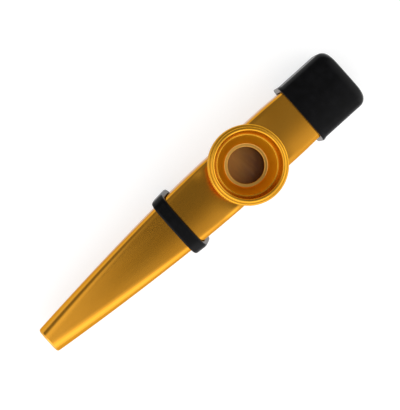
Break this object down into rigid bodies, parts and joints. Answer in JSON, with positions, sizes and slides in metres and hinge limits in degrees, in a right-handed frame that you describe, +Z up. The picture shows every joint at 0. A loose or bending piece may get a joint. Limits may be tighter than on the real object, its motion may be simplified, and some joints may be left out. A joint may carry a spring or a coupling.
{
  "type": "kazoo",
  "caption": "Pressed aluminium kazoo with a screw cup over a film membrane, a rubber mouthpiece sleeve and a rubber band.",
  "frame": {"origin": "on the resting plane, midway along the length and across the width", "axes": "+X along the body towards the mouthpiece, +Z up, with the cup on top"},
  "size_m": [0.12, 0.024, 0.0277],
  "materials": {
    "gold_shell": "satin gold anodised",
    "gold_turned": "turned, gold anodised",
    "black_rubber": "matt moulded",
    "film": "translucent film",
    "card": "pressed fibre"
  },
  "bodies": {
    "body": {"upper_shell": "gold_shell", "lower_shell": "gold_shell", "membrane_socket": "gold_turned"},
    "membrane": {"membrane_ring": "card", "membrane_film": "film"},
    "cup": {"screw_cup": "gold_turned"},
    "sleeve": {"mouthpiece_sleeve": "black_rubber"},
    "band": {"body_band": "black_rubber"}
  },
  "joints": [
    {"name": "cup_turn", "type": "hinge", "parent": "body", "child": "membrane", "pos_m": [0.0187, 0, 0.0125], "axis": [0, 0, 1], "range_deg": [0, 1080]},
    {"name": "cup_rise", "type": "slide", "parent": "membrane", "child": "cup", "axis": [0, 0, 1], "range_m": [0, 0.00305]},
    {"name": "sleeve_pull", "type": "slide", "parent": "body", "child": "sleeve", "axis": [1, 0, 0], "range_m": [0, 0.02]},
    {"name": "band_slide", "type": "slide", "parent": "body", "child": "band", "axis": [-1, 0, 0], "range_m": [0, 0.059]}
  ],
  "couplings": [
    {"joint": "cup_rise", "follows": "cup_turn", "m_per_rad": 0.00015915}
  ]
}
